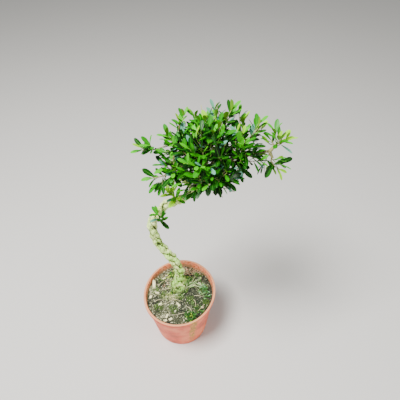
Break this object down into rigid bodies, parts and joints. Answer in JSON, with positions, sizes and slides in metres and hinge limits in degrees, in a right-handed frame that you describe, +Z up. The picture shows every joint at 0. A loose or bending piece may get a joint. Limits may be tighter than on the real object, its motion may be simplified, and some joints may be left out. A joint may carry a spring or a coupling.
{
  "type": "potted bonsai tree",
  "caption": "Small-leaved bonsai tree with a pale leaning trunk that turns back at a knee under a rounded open crown, in a round tapered plastic pot.",
  "frame": {"origin": "centre of the pot's flat underside", "axes": "+Z up the plant, +X to the right as seen from the front, +Y to the back"},
  "size_m": [0.1718, 0.109, 0.3737],
  "materials": {
    "pot_plastic": "weathered terracotta-coloured plastic, half dull, dusty",
    "soil": "gritty dark potting soil with pale chips and a little moss",
    "bark": "pale cream-green bark, corky and furrowed",
    "leaf": "glossy small leaves, bright green outside and darker inside"
  },
  "bodies": {
    "root": {"pot": "pot_plastic", "soil": "soil", "trunk_lower": "bark", "trunk_upper": "bark", "bough_left": "bark", "bough_front": "bark", "bough_back": "bark", "bough_leader": "bark", "bough_right": "bark", "bough_end": "bark", "leaves_left": "leaf", "leaves_left_high": "leaf", "leaves_front_left": "leaf", "leaves_front_right": "leaf", "leaves_front_high": "leaf", "leaves_back": "leaf", "leaves_top": "leaf", "leaves_right": "leaf", "leaves_right_high": "leaf", "leaves_end_high": "leaf", "leaves_end_low": "leaf", "leaves_knee": "leaf", "leaves_collar": "leaf"}
  },
  "joints": []
}
